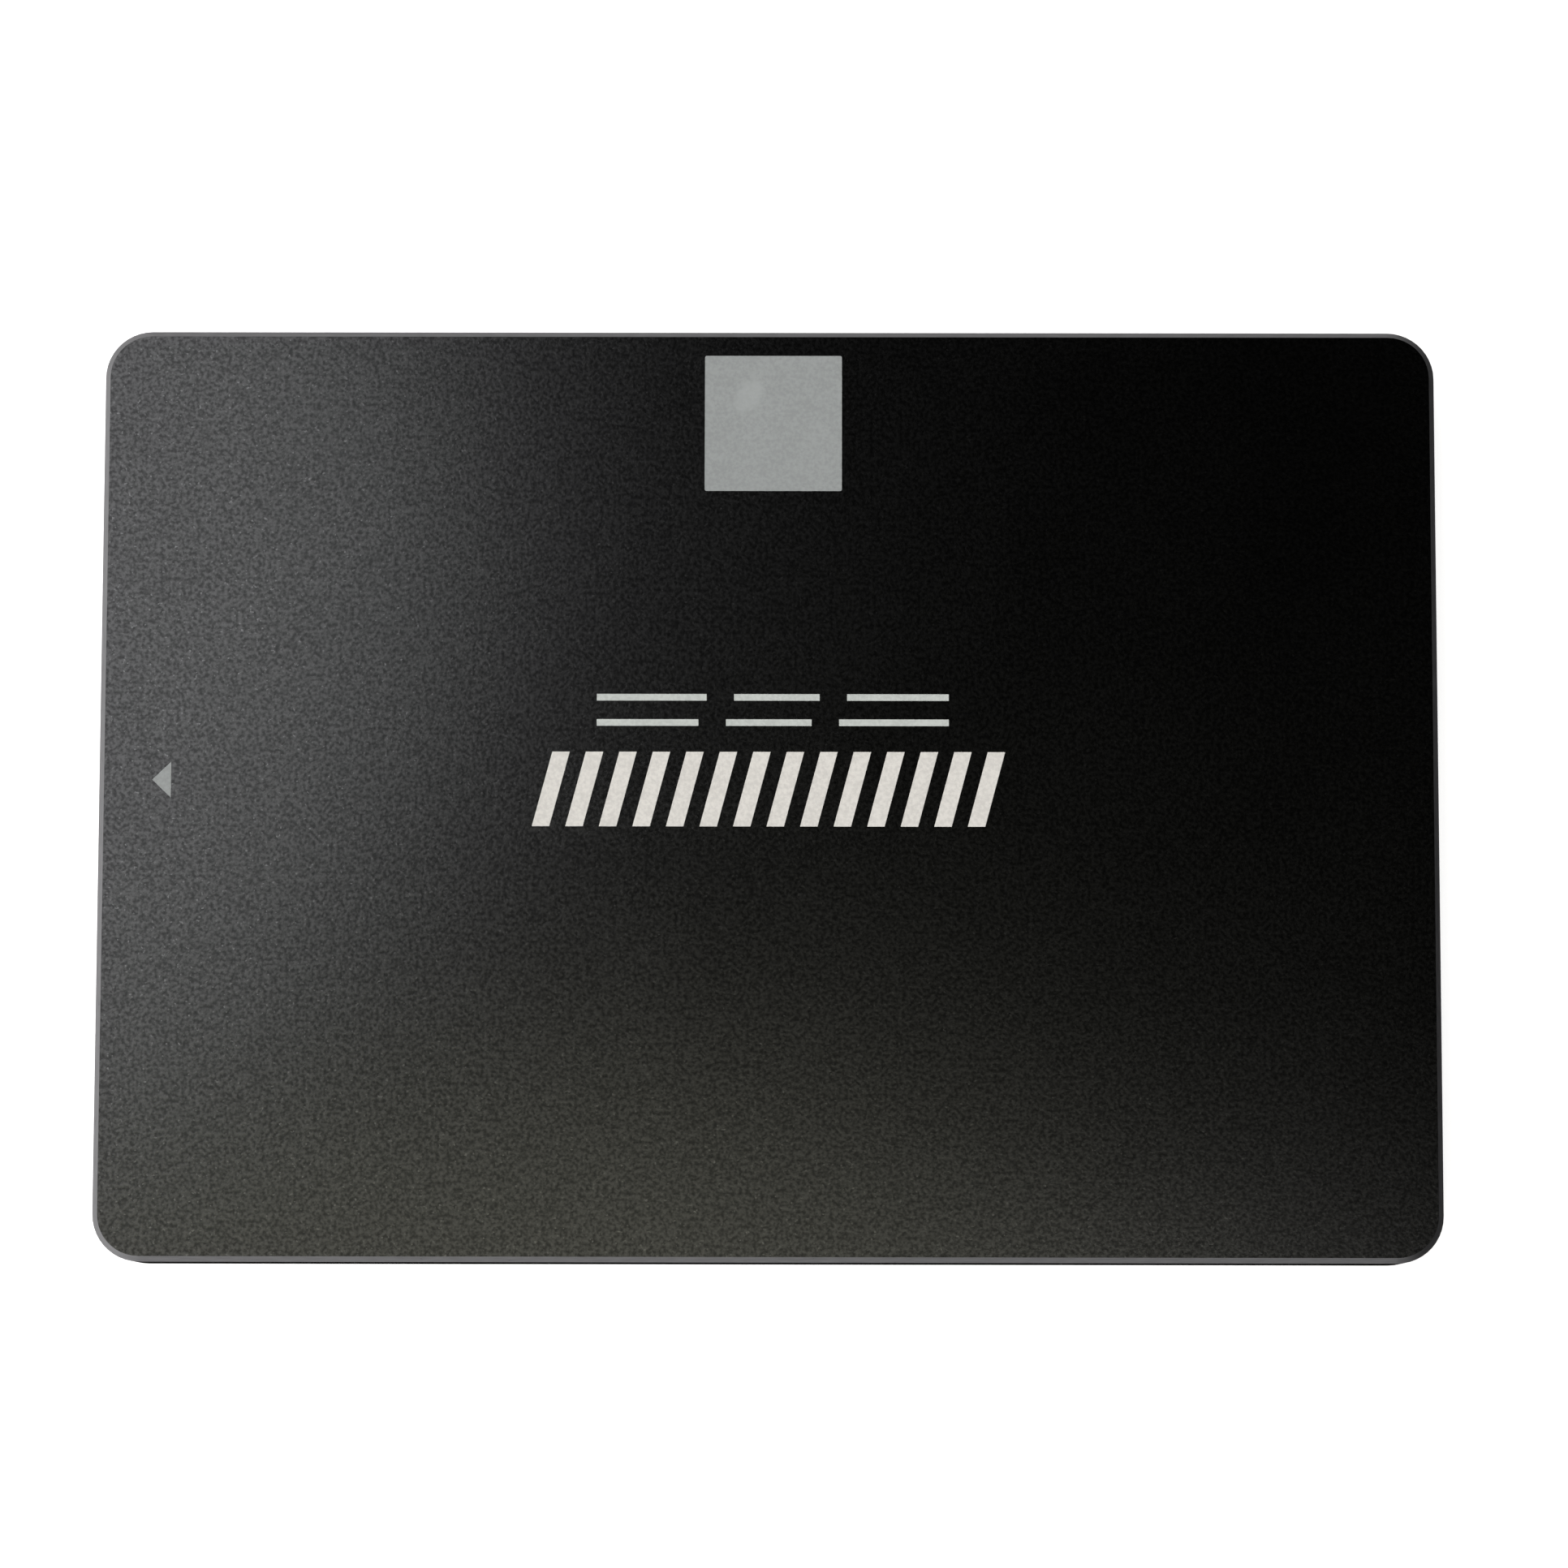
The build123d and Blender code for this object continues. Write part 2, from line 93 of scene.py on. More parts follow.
class DriveThreads(bpy.types.PropertyGroup):
    """Sizes of the threads in the mounting holes."""

    pitch: FloatProperty(
        name="Pitch", description="Rise of the thread in one turn",
        unit="LENGTH", default=0.5 * MM, min=0.2 * MM, max=1.0 * MM, precision=5)
    depth: FloatProperty(
        name="Ridge", description="How far a thread's crest stands out of the bore",
        unit="LENGTH", default=0.14 * MM, min=0.05 * MM, max=0.4 * MM, precision=5)
    bottom_depth: FloatProperty(
        name="Bottom Depth", description="Depth of the holes in the underside",
        unit="LENGTH", default=3.5 * MM, min=1.0 * MM, max=5.0 * MM, precision=5)
    side_depth: FloatProperty(
        name="Side Depth", description="Depth of the holes in the long sides",
        unit="LENGTH", default=2.4 * MM, min=1.0 * MM, max=3.0 * MM, precision=5)


class DriveStudio(bpy.types.PropertyGroup):
    """Floor, lamps and camera."""

    floor_colour: FloatVectorProperty(
        name="Floor Colour", description="Pale floor",
        subtype="COLOR", size=3, min=0, max=1, default=(0.93, 0.93, 0.93))
    floor_size: FloatProperty(
        name="Floor Size", description="Side of the square floor",
        unit="LENGTH", default=6.0, min=1.0, max=20.0)
    key_power: FloatProperty(
        name="Key Power", description="Lamp over the connector end", subtype="POWER",
        default=1.0, min=0.0, max=50.0)
    fill_power: FloatProperty(
        name="Fill Power", description="Lamp over the near long side", subtype="POWER",
        default=1.2, min=0.0, max=50.0)
    corner_power: FloatProperty(
        name="Corner Power", description="Small lamp over the near corner", subtype="POWER",
        default=0.06, min=0.0, max=5.0)
    ring_glow: FloatProperty(
        name="Ring Glow", description="Soft ring of light high round the drive",
        default=3.6, min=0.0, max=20.0)
    low_glow: FloatProperty(
        name="Low Glow", description="Soft light near the horizon that the chamfer shines with",
        default=0.8, min=0.0, max=20.0)
    lens: FloatProperty(
        name="Lens", description="Focal length on a 36 mm sensor, in millimetres",
        default=121.9, min=20.0, max=400.0)


# ------------------------------------------------------------------ shader maths
class Value:
    """An output socket; arithmetic on it adds Math nodes."""

    def __init__(self, shader, socket):
        self.shader = shader
        self.socket = socket

    def math(self, operation, *others, swap=False):
        """One Math node on this value and the others."""
        values = [self, *others]
        if swap:
            values.reverse()
        return self.shader.add(
            "ShaderNodeMath", {"operation": operation}, dict(enumerate(values)))

    def __add__(self, other):
        return self.math("ADD", other)

    def __radd__(self, other):
        return self.math("ADD", other)

    def __sub__(self, other):
        return self.math("SUBTRACT", other)

    def __rsub__(self, other):
        return self.math("SUBTRACT", other, swap=True)

    def __mul__(self, other):
        return self.math("MULTIPLY", other)

    def __rmul__(self, other):
        return self.math("MULTIPLY", other)

    def __abs__(self):
        return self.math("ABSOLUTE")

    def smooth(self, low, high, start=0.0, end=1.0):
        """Eases from `start` to `end` while this value goes from low to high."""
        return self.shader.add(
            "ShaderNodeMapRange", {"interpolation_type": "SMOOTHSTEP"},
            {"Value": self, "From Min": low, "From Max": high, "To Min": start, "To Max": end})


class Shader:
    """One node tree."""

    def __init__(self, owner):
        owner.use_nodes = True
        self.tree = owner.node_tree
        self.tree.nodes.clear()

    def add(self, kind, settings=None, sockets=None, output=0):
        """Adds a node: its settings first, then its sockets' values or links."""
        node = self.tree.nodes.new(kind)
        for name, setting in (settings or {}).items():
            if name == "stops":
                self.set_stops(node.color_ramp.elements, setting)
            else:
                setattr(node, name, setting)
        for name, value in (sockets or {}).items():
            if isinstance(value, Value):
                self.tree.links.new(value.socket, node.inputs[name])
            else:
                node.inputs[name].default_value = value
        return Value(self, node.outputs[output]) if node.outputs else None

    @staticmethod
    def set_stops(elements, stops):
        """Gives a ramp its stops, as (position, grey) pairs."""
        while len(elements) < len(stops):
            elements.new(1.0)
        for element, (position, grey) in zip(elements, stops):
            element.position = position
            element.color = (grey, grey, grey, 1.0)

    def mix(self, factor, first, second):
        """Blends two colours."""
        return self.add(
            "ShaderNodeMix", {"data_type": "RGBA"}, {0: factor, 6: first, 7: second}, output=2)

    def place(self, scale=(1.0, 1.0, 1.0)):
        """The point in the drive's own frame, in metres, times a scale."""
        point = self.add("ShaderNodeTexCoord", output=3)
        return self.add(
            "ShaderNodeVectorMath", {"operation": "MULTIPLY"}, {0: point, 1: scale})

    def axes(self):
        """The three coordinates of the point, in metres."""
        split = self.add("ShaderNodeSeparateXYZ", None, {0: self.place()})
        outputs = split.socket.node.outputs
        return [Value(self, socket) for socket in outputs]

    def noise(self, size, detail=2.0, roughness=0.5, stretch=(1.0, 1.0, 1.0)):
        """Noise whose blobs are about `size` metres wide."""
        return self.add(
            "ShaderNodeTexNoise", None,
            {"Vector": self.place(stretch), "Scale": 1.0 / size, "Detail": detail,
             "Roughness": roughness})

    def cells(self, size, distance="EUCLIDEAN", output=0):
        """Distance to the nearest point of a random scatter, in cells of `size` metres."""
        return self.add(
            "ShaderNodeTexVoronoi", {"distance": distance},
            {"Vector": self.place(), "Scale": 1.0 / size}, output=output)

    def chance(self, size, distance="EUCLIDEAN"):
        """A random number from 0 to 1 for each cell of such a scatter."""
        return self.add(
            "ShaderNodeSeparateColor", None, {0: self.cells(size, distance, output=1)})

    def bump(self, height, distance, strength=1.0):
        """A bump of `distance` metres."""
        return self.add(
            "ShaderNodeBump", None,
            {"Height": height, "Distance": distance, "Strength": strength})

    def finish(self, **sockets):
        """The Principled shader and the material's output."""
        named = {name.replace("_", " "): value for name, value in sockets.items()}
        surface = self.add("ShaderNodeBsdfPrincipled", None, named)
        self.add("ShaderNodeOutputMaterial", None, {"Surface": surface})


def rgba(colour):
    """The colour with an alpha of one."""
    return (*colour, 1.0)


def lighter(colour, factor):
    """The colour times a factor, held to white."""
    return rgba([min(1.0, part * factor) for part in colour])


def new_material(name):
    """A named material and its empty tree."""
    material = bpy.data.materials.new(name)
    return material, Shader(material)


# ------------------------------------------------------------------ materials
def dust_specks(shader):
    """A mask of sparse dust: one small dot in a few of the cells."""
    cell = 5.0 * MM
    core, rim = 0.012, 0.03
    clean_share = 0.80
    dot = shader.cells(cell).smooth(core, rim, 1.0, 0.0)
    return dot * shader.chance(cell).smooth(clean_share, clean_share + 0.02)


def chamfer_band(shader, width):
    """A mask of the chamfer, which lies under the face's edge and above the walls."""
    bottom = CASE_HIGH.z - width
    # The face looks straight up, the chamfer at a slant
    normal = shader.add("ShaderNodeNewGeometry", output=1)
    upward = shader.add("ShaderNodeSeparateXYZ", None, {0: normal}, output=2)
    above_walls = shader.axes()[2].smooth(bottom - 0.01 * MM, bottom)
    return above_walls * upward.smooth(0.9, 0.97, 1.0, 0.0)


def blasted_case(finish):
    """Bead-blasted black anodising, with the chamfer cut bright, painted shade in the pits,
    painted highlights on the crests and painted glints.
    """
    material, shader = new_material("blasted_case")
    pits = shader.noise(finish.grain_size, 3.0, 0.6)
    clouds = shader.noise(14 * MM, 3.0)
    dust = dust_specks(shader)
    chamfer = chamfer_band(shader, finish.chamfer_width)
    # Fine cutter marks that run along the edges
    cut = shader.noise(0.12 * MM, 2.0, 0.5, stretch=(0.12, 0.12, 1.0))
    # Painted shade and highlight in the grain: the blasted crests are coloured brighter through
    # the dye than the pits, and a few specks brighter still as painted glints
    painted_pit_shade, painted_crest_highlight, painted_glint_colour = [
        lighter(finish.case_colour, factor) for factor in (0.65, 1.6, 2.6)]
    crest = pits.smooth(0.32, 0.68)
    # Mask of the painted glints: sparse specks of the grain
    painted_glint_mask = shader.noise(0.8 * finish.grain_size, 1.0).smooth(0.66, 0.80)
    painted_grain_shading = shader.mix(crest, painted_pit_shade, painted_crest_highlight)
    grain_with_painted_glints = shader.mix(painted_glint_mask, painted_grain_shading, painted_glint_colour)
    dust_colour = (0.35, 0.35, 0.34, 1.0)
    dust_over_painted_grain = shader.mix(dust, grain_with_painted_glints, dust_colour)
    bright = shader.mix(
        cut, lighter(finish.chamfer_colour, 0.75), lighter(finish.chamfer_colour, 1.15))
    satin = clouds.smooth(0.3, 0.7, 0.15, 0.16) + (pits - 0.5) * 0.03
    cut_satin = 0.3 + (cut - 0.5) * 0.1
    shader.finish(
        Base_Color=shader.mix(chamfer, dust_over_painted_grain, bright),
        Roughness=satin * (1 - chamfer) + chamfer * cut_satin,
        Metallic=1 - dust,
        Normal=shader.bump(pits * (1 - 0.9 * chamfer), 0.005 * MM, 0.55))
    return material


def sheet_plate(finish):
    """The base plate: finely rolled sheet under black anodising."""
    material, shader = new_material("sheet_plate")
    rolled = shader.noise(0.25 * MM, 3.0, 0.6, stretch=(0.06, 1.0, 1.0))
    grain = shader.noise(finish.grain_size, 2.0)
    colour = shader.mix(
        rolled, lighter(finish.case_colour, 0.3), lighter(finish.case_colour, 0.8))
    roughness = 0.34 + (rolled - 0.5) * 0.12
    normal = shader.bump(rolled * 0.6 + grain * 0.4, 0.008 * MM, 0.5)
    shader.finish(Base_Color=colour, Roughness=roughness, Normal=normal)
    return material


def rubbed_oval(shader, middle):
    """A mask of a slanting oval with a soft edge, where the ink is polished."""
    x, y = shader.axes()[:2]
    slant_x, slant_y = 0.6, 0.8
    squeeze = 0.35
    # Squares of the distance at which the oval begins to fade and is gone
    core, rim = 0.2 * MM * MM, 1.1 * MM * MM
    along = (x - middle.x) * slant_x + (y - middle.y) * slant_y
    across = (x - middle.x) * slant_y - (y - middle.y) * slant_x
    far = along * along * squeeze + across * across
    return far.smooth(core, rim, 1.0, 0.0)


def pad_print(name, finish, colour, rub=None):
    """Pad-printed ink over the blasted grain; `rub` is a spot that is worn paler."""
    material, shader = new_material(name)
    grain = shader.noise(finish.grain_size, 3.0, 0.6)
    patches = shader.noise(2.2 * MM, 2.0)
    shade = (grain * 0.75 + patches * 0.25).smooth(0.36, 0.64)
    tint = shader.mix(shade, lighter(colour, 0.90), lighter(colour, 1.06))
    roughness = 0.5 + (grain - 0.5) * 0.1
    if rub:
        worn = rubbed_oval(shader, rub)
        polished = lighter(colour, 1.25)
        tint = shader.mix(worn * 0.55, tint, polished)
        roughness = roughness - worn * 0.1
    normal = shader.bump(grain, 0.006 * MM, 0.4)
    shader.finish(Base_Color=tint, Roughness=roughness, Normal=normal)
    return material


def label_film(finish):
    """Silver-grey polyester film."""
    material, shader = new_material("label_film")
    fibre = shader.noise(0.3 * MM, 4.0, 0.6)
    waves = shader.noise(9.0 * MM, 2.0)
    colour = shader.mix(
        fibre, lighter(finish.label_colour, 0.96), lighter(finish.label_colour, 1.03))
    roughness = 0.38 + (waves - 0.5) * 0.1
    normal = shader.bump(waves * 0.8 + fibre * 0.2, 0.02 * MM, 0.3)
    shader.finish(Base_Color=colour, Roughness=roughness, Normal=normal)
    return material


def label_ink():
    """Dark ink of a thermal printer, with its fine print lines."""
    material, shader = new_material("label_ink")
    lines = shader.noise(0.16 * MM, 1.0, 0.5, stretch=(1.0, 0.15, 1.0))
    colour = shader.mix(lines, (0.02, 0.02, 0.025, 1.0), (0.05, 0.05, 0.055, 1.0))
    roughness = 0.45 + (lines - 0.5) * 0.1
    normal = shader.bump(lines, 0.004 * MM, 0.4)
    shader.finish(Base_Color=colour, Roughness=roughness, Normal=normal)
    return material


def moulded(name, dark, light, grain_size, roughness=0.5, depth=0.01 * MM):
    """Filled plastic: fine moulding grain and slow flow streaks."""
    material, shader = new_material(name)
    grain = shader.noise(grain_size, 3.0, 0.6)
    flow = shader.noise(2.5 * MM, 3.0, 0.5, stretch=(1.0, 0.35, 1.0))
    shade = (grain * 0.6 + flow * 0.4).smooth(0.35, 0.65)
    shader.finish(
        Base_Color=shader.mix(shade, rgba(dark), rgba(light)),
        Roughness=roughness + (grain - 0.5) * 0.15 + (flow - 0.5) * 0.1,
        Normal=shader.bump(grain, depth, 0.5))
    return material


def plated(name, dark, light, roughness, stretch=(1.0, 1.0, 1.0), grain_size=0.1 * MM):
    """Plated metal with fine scratches along one way."""
    material, shader = new_material(name)
    scratches = shader.noise(grain_size, 3.0, 0.6, stretch=stretch)
    stain = shader.noise(1.2 * MM, 2.0)
    shade = (scratches * 0.5 + stain * 0.5).smooth(0.3, 0.7)
    shader.finish(
        Base_Color=shader.mix(shade, rgba(dark), rgba(light)),
        Roughness=roughness + (scratches - 0.5) * 0.15,
        Metallic=1.0,
        Normal=shader.bump(scratches, 0.004 * MM, 0.4))
    return material


def board_tracks(shader):
    """A mask of copper tracks: each patch has them run one of two ways, or has none."""
    x, y = shader.axes()[:2]
    patch_choice = shader.chance(4.0 * MM, distance="CHEBYCHEV")
    # The tracks lie two folds apart, and each fades over its edge
    fold = 0.2 * MM
    edge = (0.06 * MM, 0.09 * MM)
    along, across = [part.math("PINGPONG", fold).smooth(*edge, 1.0, 0.0) for part in (y, x)]
    # Nearly half of the patches run along, a third across, and a fifth are bare
    turned = patch_choice.smooth(0.44, 0.46)
    tracked = patch_choice.smooth(0.79, 0.81, 1.0, 0.0)
    return (along * (1 - turned) + across * turned) * tracked


def circuit_board(finish):
    """Solder mask over bundles of tracks, with tinned vias."""
    material, shader = new_material("circuit_board")
    via_gold = (0.55, 0.42, 0.2, 1.0)
    track = board_tracks(shader)
    via = shader.cells(1.9 * MM).smooth(0.10, 0.13, 1.0, 0.0)
    weave = shader.noise(0.3 * MM, 2.0)
    mask = shader.mix(track, rgba(finish.board_colour), lighter(finish.board_colour, 2.4))
    mottled = shader.mix(weave * 0.3, mask, lighter(finish.board_colour, 1.6))
    shader.finish(
        Base_Color=shader.mix(via, mottled, via_gold),
        Metallic=via,
        Roughness=0.25 + weave * 0.12 + via * 0.1,
        Normal=shader.bump(track * 0.6 + via * 0.4 + weave * 0.1, 0.03 * MM, 0.6))
    return material


# ------------------------------------------------------------------ pieces
def paint(node, material):
    """Gives a CAD node's mesh one material."""
    mesh = NODES[node].data
    mesh.materials.clear()
    mesh.materials.append(material)


def new_piece(name, mesh_maker, material):
    """A mesh object that rides with the drive."""
    mesh = bpy.data.meshes.new(name)
    build = bmesh.new()
    mesh_maker(build)
    bmesh.ops.recalc_face_normals(build, faces=build.faces)
    build.to_mesh(mesh)
    build.free()
    mesh.materials.append(material)
    piece = bpy.data.objects.new(name, mesh)
    bpy.context.scene.collection.objects.link(piece)
    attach(piece, "root")
    return piece


def island_of(start, waiting):
    """Takes everything joined to one vertex out of `waiting`; returns its points."""
    to_visit, points = [start], []
    while to_visit:
        vert = to_visit.pop()
        points.append(vert.co.copy())
        for edge in vert.link_edges:
            other = edge.other_vert(vert)
            if other in waiting:
                waiting.remove(other)
                to_visit.append(other)
    return points


def islands(node):
    """The lowest and highest corner of each separate solid of a CAD node."""
    build = bmesh.new()
    build.from_mesh(NODES[node].data)
    bmesh.ops.remove_doubles(build, verts=build.verts, dist=0.001 * MM)
    boxes, waiting = [], set(build.verts)
    while waiting:
        points = island_of(waiting.pop(), waiting)
        low = Vector([min(point[axis] for point in points) for axis in range(3)])
        high = Vector([max(point[axis] for point in points) for axis in range(3)])
        boxes.append((low, high))
    build.free()
    return sorted(boxes, key=lambda box: tuple(round(part, 6) for part in box[0]))


def each_part(node, shape):
    """A maker that adds one shape for every solid of a CAD node."""
    def make(build):
        for low, high in islands(node):
            shape(build, low, high)
    return make


def skin(build, rings):
    """Joins rings of points into one closed tube, capped at both ends."""
    loops = [[build.verts.new(point) for point in ring] for ring in rings]
    for lower, upper in zip(loops, loops[1:]):
        for index, corner in enumerate(lower):
            build.faces.new((corner, lower[index - 1], upper[index - 1], upper[index]))
    build.faces.new(loops[0])
    build.faces.new(loops[-1])


def long_axis(low, high):
    """The index of the longer side of a flat part, and that of the shorter one."""
    size = high - low
    return (0, 1) if size.x >= size.y else (1, 0)


def tinned_ends(build, low, high):
    """A thin metal cap over each end of one part, with its long edges cut off."""
    along, across = long_axis(low, high)
    proud, corner = 0.012 * MM, 0.03 * MM
    proud_above = 0.9 * proud
    gripped_share = 0.24
    grip = gripped_share * (high[along] - low[along])
    middle = (low + high) / 2
    tall, wide = high.z - low.z, high[across] - low[across]
    # Going round a section, each corner is cut into two points, in the order of the walk
    into_side, into_height = (corner, 0), (0, corner)
    walk = (
        (1, 1, (into_height, into_side)), (-1, 1, (into_side, into_height)),
        (-1, -1, (into_height, into_side)), (1, -1, (into_side, into_height)))
    for wall, way in ((low[along], -1), (high[along], 1)):
        rings = []
        for out, spare in ((proud, -corner), (proud - corner, proud), (-grip, proud)):
            half_wide, half_tall = wide / 2 + spare, tall / 2 + min(spare, proud_above)
            ring = []
            for side, up, cuts in walk:
                for cut_side, cut_up in cuts:
                    point = middle.copy()
                    point[along] = wall + way * out
                    point[across] += side * (half_wide - cut_side)
                    point.z += up * (half_tall - cut_up)
                    ring.append(point)
            rings.append(ring)
        skin(build, rings)


def fillet_outline(climb, reach):
    """A hollow quarter round from the part's wall down to the pad, as (out, rise) pairs."""
    bends = 6
    sunk, under = -0.02 * MM, -0.01 * MM
    outline = [(sunk, under), (sunk, climb)]
    for bend in range(bends + 1):
        angle = math.pi / 2 * bend / bends
        outline.append((reach * (1 - math.cos(angle)), climb * (1 - math.sin(angle))))
    return outline


def solder_ends(build, low, high):
    """Two hollow fillets between the ends of one part and its pads."""
    size = high - low
    along, across = long_axis(low, high)
    hangs = high.z < BOARD_HIGH.z
    pad, up = (high.z, -1) if hangs else (low.z, 1)
    climb_share, highest_climb = 0.6, 0.35 * MM
    climb = min(climb_share * size.z, highest_climb)
    reach = 0.8 * climb
    middle = (low[across] + high[across]) / 2
    covered_share = 0.92
    half = covered_share / 2 * size[across]
    draw_back = 0.25
    for wall, way in ((low[along], -1), (high[along], 1)):
        rings = []
        for place in (-1, -0.5, 0, 0.5, 1):
            # The fillet is fullest in the middle and draws back at its two sides
            full = 1 - draw_back * place * place
            ring = []
            for out, rise in fillet_outline(climb * full, reach * full):
                point = Vector((0, 0, pad + up * rise))
                point[along] = wall + way * out
                point[across] = middle + place * half
                ring.append(point)
            rings.append(ring)
        skin(build, rings)


def thread_ridge(build, mouth, axis, radius, depth, sizes):
    """One thread inside a bore: a ridge that winds in from the mouth and fades at both ends."""
    steps_a_turn = 36
    fade_steps = steps_a_turn / 4
    sunk = 0.02 * MM
    root = radius + sunk
    # What is left of the ridge's height and width where it has faded
    lowest, narrowest = 0.1, 0.3
    # Half the width of the ridge's foot; its crest is a quarter as wide
    foot = 0.42 * sizes.pitch
    into = Vector(axis).to_track_quat("Z", "Y")
    # The bare stretch of bore at either end
    lead = 0.7 * sizes.pitch
    steps = int((depth - 2 * lead) / sizes.pitch * steps_a_turn)
    rings = []
    for step in range(steps + 1):
        fade = min(1.0, step / fade_steps, (steps - step) / fade_steps)
        crest = root - (sizes.depth + sunk) * (lowest + (1 - lowest) * fade)
        wide = foot * (narrowest + (1 - narrowest) * fade)
        rise = lead + sizes.pitch * step / steps_a_turn
        angle = math.tau * step / steps_a_turn
        ring = []
        for reach, side in ((root, -wide), (crest, -wide / 4), (crest, wide / 4), (root, wide)):
            local = Vector((reach * math.cos(angle), reach * math.sin(angle), rise + side))
            ring.append(Vector(mouth) + into @ local)
        rings.append(ring)
    skin(build, rings)


def hole_mouths(mount):
    """Where the holes of one of the record's bolt patterns open."""
    middle, sizes = Vector(mount["pos_m"]), mount["dims"]
    along = sizes["spacing_x_mm"] * MM / 2
    across = sizes.get("spacing_y_mm", 0) * MM / 2
    sides = (-1, 1) if across else (0,)
    return [
        middle + Vector((end * along, side * across, 0)) for end in (-1, 1) for side in sides]


# ------------------------------------------------------------------ operators
class DRIVE_OT_case(bpy.types.Operator):
    """Finish the case shell and the base plate"""

    bl_idname = "drive.case"
    bl_label = "Case"

    def execute(self, context):
        finish = context.scene.drive_finish
        paint("case_shell", blasted_case(finish))
        paint("base_plate", sheet_plate(finish))
        return {"FINISHED"}


class DRIVE_OT_marks(bpy.types.Operator):
    """Ink the printed marks on the face"""

    bl_idname = "drive.marks"
    bl_label = "Marks"

    def execute(self, context):
        finish = context.scene.drive_finish
        paint("face_bars", pad_print("white_ink", finish, finish.mark_white))
        paint("face_dashes", pad_print("pale_ink", finish, finish.mark_pale))
        paint("face_triangle", pad_print("grey_ink", finish, finish.mark_grey))
        low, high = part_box("face_square")
        rub_share = Vector((0.32, 0.70, 0))
        rub = low + (high - low) * rub_share
        paint("face_square", pad_print("rubbed_ink", finish, finish.mark_grey, rub))
        return {"FINISHED"}


class DRIVE_OT_label(bpy.types.Operator):
    """Finish the label under the drive"""

    bl_idname = "drive.label"
    bl_label = "Label"

    def execute(self, context):
        paint("rear_label", label_film(context.scene.drive_finish))
        paint("label_blocks", label_ink())
        return {"FINISHED"}


class DRIVE_OT_screws(bpy.types.Operator):
    """Finish the case screws and the board screws"""

    bl_idname = "drive.screws"
    bl_label = "Screws"

    def execute(self, context):
        paint("case_screws", plated(
            "black_zinc", dark=(0.02, 0.02, 0.02), light=(0.06, 0.06, 0.06), roughness=0.36))
        paint("board_screws", plated(
            "nickel", dark=(0.45, 0.43, 0.4), light=(0.62, 0.6, 0.56), roughness=0.28))
        return {"FINISHED"}


class DRIVE_OT_connector(bpy.types.Operator):
    """Finish the connector, its contacts and its board locks"""

    bl_idname = "drive.connector"
    bl_label = "Connector"

    def execute(self, context):
        paint("connector_housing", moulded(
            "connector_resin", dark=(0.008, 0.008, 0.008), light=(0.02, 0.02, 0.021),
            grain_size=0.08 * MM, roughness=0.42))
        gold = plated(
            "contact_gold", dark=(0.72, 0.46, 0.16), light=(0.95, 0.68, 0.3), roughness=0.24,
            stretch=(0.1, 1.0, 1.0))
        for node in ("signal_contacts", "power_contacts"):
            paint(node, gold)
        paint("board_locks", plated(
            "tin", dark=(0.5, 0.5, 0.48), light=(0.72, 0.72, 0.7), roughness=0.4))
        return {"FINISHED"}


class DRIVE_OT_board(bpy.types.Operator):
    """Finish the circuit board and everything on it"""

    bl_idname = "drive.board"
    bl_label = "Board"

    def execute(self, context):
        paint("circuit_board", circuit_board(context.scene.drive_finish))
        epoxy = moulded(
            "package_epoxy", dark=(0.012, 0.012, 0.012), light=(0.03, 0.03, 0.031),
            grain_size=0.06 * MM, roughness=0.55)
        packages = (
            "controller_chip", "memory_chip", "flash_chips_upper", "flash_chips_lower",
            "power_manager_chip")
        for node in packages:
            paint(node, epoxy)
        silicone = moulded(
            "pad_silicone", dark=(0.3, 0.34, 0.4), light=(0.4, 0.45, 0.5),
            grain_size=0.15 * MM, roughness=0.75, depth=0.03 * MM)
        for node in ("controller_pad", "flash_pads_upper", "flash_pads_lower"):
            paint(node, silicone)
        paint("chip_resistors", moulded(
            "resistor_glaze", dark=(0.012, 0.012, 0.014), light=(0.03, 0.03, 0.033),
            grain_size=0.06 * MM, roughness=0.35))
        paint("ceramic_capacitors", moulded(
            "capacitor_ceramic", dark=(0.30, 0.2, 0.12), light=(0.46, 0.34, 0.22),
            grain_size=0.07 * MM, roughness=0.45))
        paint("crystal", plated(
            "crystal_can", dark=(0.5, 0.5, 0.48), light=(0.7, 0.7, 0.68), roughness=0.3))
        paint("power_inductors", moulded(
            "iron_powder", dark=(0.05, 0.05, 0.052), light=(0.11, 0.11, 0.11),
            grain_size=0.05 * MM, roughness=0.7))
        paint("polymer_capacitors", moulded(
            "capacitor_resin", dark=(0.05, 0.045, 0.03), light=(0.09, 0.08, 0.06),
            grain_size=0.07 * MM, roughness=0.5))
        return {"FINISHED"}


class DRIVE_OT_solder(bpy.types.Operator):
    """Tin the ends of the small chip parts and solder them to their pads"""

    bl_idname = "drive.solder"
    bl_label = "Solder"

    def execute(self, context):
        tin = plated(
            "tinned_end", dark=(0.42, 0.42, 0.41), light=(0.6, 0.6, 0.58), roughness=0.38,
            grain_size=0.06 * MM)
        solder = plated(
            "solder", dark=(0.55, 0.55, 0.54), light=(0.78, 0.78, 0.76), roughness=0.22,
            grain_size=0.05 * MM)
        capped = ("ceramic_capacitors", "chip_resistors")
        for node in capped:
            new_piece(f"{node}_ends", each_part(node, tinned_ends), tin)
        for node in (*capped, "polymer_capacitors", "power_inductors"):
            new_piece(f"{node}_solder", each_part(node, solder_ends), solder)
        return {"FINISHED"}


